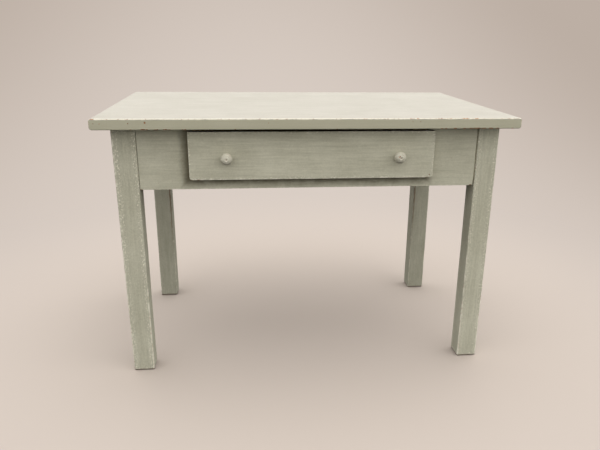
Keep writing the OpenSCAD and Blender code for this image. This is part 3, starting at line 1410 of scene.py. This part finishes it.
@dataclass
class Aprons:
    """Four deep boards between the legs."""

    joinery: Joinery
    eased: float = 0.35 * MM
    # The lip's painted shadow is cut short at this end, which faces the light.
    lit_end: float = 7 * MM
    slot: str = "painted_frame"

    def build(self) -> None:
        """Make and dress the four aprons."""
        for index, (name, brush) in enumerate((("front", Axis.X), ("rear", Axis.X),
                                               ("left", Axis.Y), ("right", Axis.Y))):
            node = f"apron_{name}"
            low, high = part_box(node)
            piece = Bench.softened(node, node + "_worn", self.eased)
            grime_and_shade = None
            if name == "front":
                Bench.cut(piece, self.damage(low))
                Bench.clean(piece)
                # Painted shadow round the drawer's lip.
                grime_and_shade = self.dirt_and_shade()
            paint = BrushedPaint(node + "_paint", brush, rub_low=0.12, rub_high=0.0,
                                 rub_reach_mm=0.9, seed=index * 47.0, grime_and_shade=grime_and_shade)
            material = paint.material((low, high), self.joinery.inside)
            dress(piece, material, self.slot, Body.FRAME, node)

    def dirt_and_shade(self) -> GrimeAndShade:
        """Give the painted shadow that the drawer's proud lip casts on the apron round it,
        weaker at its right end, which faces the light.
        """
        low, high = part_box("drawer_front")
        return GrimeAndShade((low, high - Vector((self.lit_end, 0, 0))), reach_mm=11.0, strength=0.8)

    def damage(self, low: Vector) -> list[bpy.types.Object]:
        """Make the small chips under the front apron's ends.

        Args:
            low: The front apron's lowest corner.

        Returns:
            The shapes to cut out.
        """
        rng = random.Random(8)
        left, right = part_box("leg_front_left")[1].x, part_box("leg_front_right")[0].x
        cutters = []
        for ends in ((left, left + 4 * MM), (right - 6 * MM, right)):
            cutters += Stretch.in_front(ends, low.y, low.z, 1, 3, self.eased,
                                        girth=1.2 * MM).cutters(rng, self.joinery.chip)
        return cutters


@dataclass
class HiddenStrips:
    """Bare strips inside the table: cleats, runners, guides and kickers."""

    eased: float = 0.4 * MM
    slot: str = "bare_pine"

    def build(self) -> None:
        """Make and dress the strips."""
        lengthwise = BareWood("strip_pine", Axis.Y).material()
        crosswise = BareWood("cleat_pine", Axis.X).material()
        nodes = [f"{strip}_{side.value}" for side in Side for strip in
                 ("top_cleat", "drawer_runner", "drawer_guide", "drawer_kicker")]
        for node in nodes:
            planed(node, lengthwise, self.slot, Body.FRAME, self.eased)
        planed("top_cleat_rear", crosswise, self.slot, Body.FRAME, self.eased)


@dataclass
class Drawer:
    """The drawer: a painted lipped front, and a bare box behind it."""

    joinery: Joinery
    eased_front: float = 0.5 * MM
    eased_box: float = 0.35 * MM
    shallow: Pair = (0.08 * MM, 0.2 * MM)
    # Painted shade: the front's top face, behind its first millimetre or so, is laid almost
    # black, standing for the shadow in the gap under the top.
    dark: Colour = srgb(46, 37, 27)
    top_shade_from: float = 1.2 * MM

    def build(self) -> None:
        """Make and dress the front and the box."""
        self.front()
        sides = BareWood("drawer_side_pine", Axis.Y, Grain(ring_mm=4.2)).material()
        back = BareWood("drawer_back_pine", Axis.X, Grain(ring_mm=3.8)).material()
        ply = Grain(early=srgb(222, 190, 142), late=srgb(196, 158, 108), ring_mm=9.0)
        panel = BareWood("drawer_panel_ply", Axis.X, ply).material()
        for node, material, slot in (("drawer_side_left", sides, "bare_pine"),
                                     ("drawer_side_right", sides, "bare_pine"),
                                     ("drawer_back", back, "bare_pine"),
                                     ("drawer_bottom", panel, "drawer_panel")):
            planed(node, material, slot, Body.DRAWER, self.eased_box)

    def front(self) -> None:
        """Make and dress the lipped front, with painted shade along its top face, standing for
        the shadow in the gap under the top.
        """
        node = "drawer_front"
        low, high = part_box(node)
        piece = Bench.softened(node, node + "_worn", self.eased_front, segments=3)
        Bench.cut(piece, self.damage(low, high))
        Bench.clean(piece)
        top = (Vector((low.x, low.y + self.top_shade_from, high.z - NEAR * 10)), high + FAR)
        painted_top_shade = GrimeAndShade(top, reach_mm=0.5, strength=0.9, colour=self.dark)
        paint = BrushedPaint("drawer_paint", Axis.X, rub_low=0.26, rub_high=0.14,
                             rub_reach_mm=1.2, flecks=0.5, seed=301.0, grime_and_shade=painted_top_shade)
        material = paint.material((low, high), self.joinery.inside)
        dress(piece, material, "painted_frame", Body.DRAWER, node)

    def damage(self, low: Vector, high: Vector) -> list[bpy.types.Object]:
        """Make the chips of the lower corners, and one pin hole.

        Args:
            low: The front's lowest corner.
            high: Its highest corner.

        Returns:
            The shapes to cut out.
        """
        rng = random.Random(21)
        cutters = []
        for ends in ((low.x, low.x + 9 * MM), (high.x - 7 * MM, high.x)):
            cutters += Stretch.in_front(ends, low.y, low.z, 1, 2, self.eased_front,
                                        girth=1.1 * MM, depth=self.shallow).cutters(
                                            rng, self.joinery.chip)
        hole = Vector((high.x - 3.2 * MM, low.y, low.z + 2.6 * MM))
        cutters.append(splinter(hole, Vector((0.5, 1.6, 0.5)) * MM, rng, self.joinery.chip))
        return cutters


@dataclass
class Knob:
    """One turned knob, built ring by ring outwards from its foot."""

    joinery: Joinery
    side: Side
    facets: int = 56
    slot: str = "painted_knob"

    def build(self) -> None:
        """Turn and dress the knob."""
        node = f"knob_{self.side.value}"
        low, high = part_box(node)
        centre = (low + high) / 2
        foot = Vector((centre.x, high.y, centre.z))
        piece = self.turned(node + "_turned", foot, (high.x - low.x) / 2, high.y - low.y)
        if self.side is Side.RIGHT:
            Bench.cut(piece, self.nicks(Vector((centre.x, low.y, centre.z))))
        Bench.clean(piece, angle=50.0)
        material = TurnedPaint(node + "_paint", centre.x, centre.z).material()
        dress(piece, material, self.slot, Body.DRAWER, node)

    def nicks(self, nose: Vector) -> list[bpy.types.Object]:
        """Make a short bowed row of nicks beside the knob's nose.

        Args:
            nose: The tip of the nose.

        Returns:
            The shapes to cut out.
        """
        rng = random.Random(len(self.side.value))
        first, size = Vector((-1.9, 0.25, 1.1)), Vector((0.42, 0.5, 0.42)) * MM
        steps = [Vector((0.35 * step, 0, 0.55 * step - 0.12 * step ** 2)) for step in range(4)]
        return [splinter(nose + (first + step) * MM, size, rng, self.joinery.chip)
                for step in steps]

    def profile(self, radius: float, length: float) -> list[tuple[float, float]]:
        """Give the knob's rings, from its foot to its nose.

        Args:
            radius: The knob's largest radius.
            length: The knob's length.

        Returns:
            Radius and distance from the foot, for each ring.
        """
        foot = [(0.7, 0.0), (0.72, 0.02), (0.72, 0.07), (0.66, 0.1), (0.58, 0.15), (0.56, 0.22),
                (0.58, 0.3), (0.66, 0.37)]
        head = [(0.62 + 0.38 * math.cos(angle), 0.62 + 0.25 * math.sin(angle))
                for angle in (math.radians(step) for step in range(-60, 61, 12))]
        nose = [(0.7, 0.9), (0.62, 0.935), (0.58, 0.93), (0.54, 0.935), (0.5, 0.955),
                (0.4, 0.985), (0.28, 1.0), (0.2, 0.99), (0.14, 0.96), (0.07, 0.945)]
        return [(share * radius, step * length) for share, step in foot + head + nose]

    def turned(self, name: str, foot: Vector, radius: float, length: float) -> bpy.types.Object:
        """Draw the knob out of a disc, one ring at a time.

        Args:
            name: The object's name.
            foot: The middle of its foot.
            radius: Its largest radius.
            length: Its length.

        Returns:
            The knob.
        """
        rings = self.profile(radius, length)
        bpy.ops.object.select_all(action="DESELECT")
        bpy.ops.mesh.primitive_circle_add(vertices=self.facets, radius=rings[0][0],
                                          fill_type="NGON", location=foot,
                                          rotation=(math.pi / 2, 0, 0))
        piece = Bench.settled(name)
        with Bench.editing(piece):
            bpy.ops.mesh.select_all(action="SELECT")
            for (before, start), (after, end) in zip(rings, rings[1:]):
                bpy.ops.mesh.extrude_region_move(
                    TRANSFORM_OT_translate={"value": (0, start - end, 0)})
                grow = after / before
                middle = (foot.x, foot.y - end, foot.z)
                bpy.ops.transform.resize(value=(grow, 1, grow), center_override=middle)
        return piece


@dataclass
class Fastenings:
    """Pins and screws, which keep their CAD shape."""

    nodes: tuple[str, ...] = ("leg_pins", "top_screws", "drawer_side_pins",
                              "drawer_bottom_pins", "knob_screw_left", "knob_screw_right")

    def build(self) -> None:
        """Dress the fastenings."""
        steel = WireSteel().material()
        for node in self.nodes:
            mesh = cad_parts[node].data
            mesh.materials.clear()
            mesh.materials.append(steel)
            log.info("%s: steel", node)


# ---------------------------------------------------------------- the studio


@dataclass
class Studio:
    """Paper sweep, camera and a dome of soft light."""

    lens: float = 37.24
    sensor: float = 36.0
    eye: Vector = field(default_factory=lambda: Vector((-0.0607, -0.6660, 0.3227)))
    yaw: float = 6.68
    pitch: float = -19.43
    roll: float = 0.76
    shift: tuple[float, float] = (-0.025, 0.0417)
    paper_width: float = 12.0
    paper_front: float = 6.0
    paper_back: float = 2.8
    paper_height: float = 5.0
    paper_curve: float = 2.4
    paper_facets: int = 48
    sky: Colour = srgb(255, 253, 250)
    ground: Colour = srgb(58, 55, 50)
    brightness: float = 1.45
    open_share: float = 0.91
    overhead: float = 0.4
    side_tilt: float = 0.18
    horizon: Pair = (-0.05, 0.08)
    crown: Pair = (0.75, 1.0)

    def build(self) -> None:
        """Set up the whole studio."""
        self.sweep()
        self.camera()
        self.dome()

    def sweep(self) -> None:
        """Lay the paper: a floor that curves up into a wall."""
        bpy.ops.object.select_all(action="DESELECT")
        bpy.ops.mesh.primitive_plane_add(size=1, location=(0, 0, 0))
        paper = bpy.context.active_object
        paper.name = paper.data.name = "paper_sweep"
        paper.scale = (self.paper_width, self.paper_back + self.paper_front, 1)
        paper.location.y = (self.paper_back - self.paper_front) / 2
        bpy.ops.object.transform_apply(location=True, rotation=True, scale=True)
        back = self.paper_back
        with Bench.editing(paper):
            Bench.select_edges(paper, lambda middle, _: abs(middle.y - back) < MM)
            bpy.ops.mesh.extrude_region_move(
                TRANSFORM_OT_translate={"value": (0, 0, self.paper_height)})
            Bench.select_edges(paper, lambda middle, _: middle.z < MM and middle.y > back - MM)
            bpy.ops.mesh.bevel(offset=self.paper_curve, segments=self.paper_facets)
        Bench.pick(paper)
        bpy.ops.object.shade_smooth()
        paper.data.materials.append(StudioPaper().material())
        paper.visible_diffuse = paper.visible_glossy = paper.visible_shadow = False

    def camera(self) -> None:
        """Place the camera."""
        data = bpy.data.cameras.new("camera")
        data.lens, data.sensor_width = self.lens, self.sensor
        data.shift_x, data.shift_y = self.shift
        data.clip_start, data.clip_end = 0.01, 50
        camera = bpy.data.objects.new("camera", data)
        bpy.context.scene.collection.objects.link(camera)
        yaw, pitch, roll = map(math.radians, (self.yaw, self.pitch, self.roll))
        forward = Vector((math.sin(yaw) * math.cos(pitch), math.cos(yaw) * math.cos(pitch),
                          math.sin(pitch)))
        level = Vector((math.cos(yaw), -math.sin(yaw), 0))
        upright = level.cross(forward)
        right = math.cos(roll) * level + math.sin(roll) * upright
        up = -math.sin(roll) * level + math.cos(roll) * upright
        turn = Matrix((right, up, -forward)).transposed().to_4x4()
        camera.matrix_world = Matrix.Translation(self.eye) @ turn
        bpy.context.scene.camera = camera

    def dome(self) -> None:
        """Light the table from a soft dome, brighter overhead and on the right.

        The dome itself is not seen: past the paper's edge there is the dark end of the paper's
        painted light falloff.
        """
        world = bpy.data.worlds.new("dome")
        bpy.context.scene.world = world
        world.use_nodes = True
        graph = Graph.of_tree(world.node_tree)
        x, _, z = graph.parts(graph.node("TexCoord", output="Generated"))
        tone = graph.mix(self.ground, self.sky, z.rise(*self.horizon))
        strength = (self.open_share + z.rise(*self.crown) * self.overhead
                    + x * self.side_tilt) * self.brightness
        seen = graph.node("LightPath", output="Is Camera Ray")
        tone = graph.mix(tone, StudioPaper().painted_dim, seen)
        strength = strength + (1 - strength) * seen
        room = graph.node("Background", inputs={"Color": tone, "Strength": strength})
        graph.node("OutputWorld", inputs={"Surface": room})
        bpy.context.scene.view_settings.view_transform = "Standard"


def main() -> None:
    """Build every piece, then the studio."""
    logging.basicConfig(level=logging.INFO, format="%(name)s: %(message)s")
    joinery = Joinery()
    Tabletop(joinery).build()
    for end in End:
        for side in Side:
            Leg(joinery, side, end).build()
    Aprons(joinery).build()
    HiddenStrips().build()
    Drawer(joinery).build()
    for side in Side:
        Knob(joinery, side).build()
    Fastenings().build()
    Studio().build()


if __name__ == "__main__":
    main()
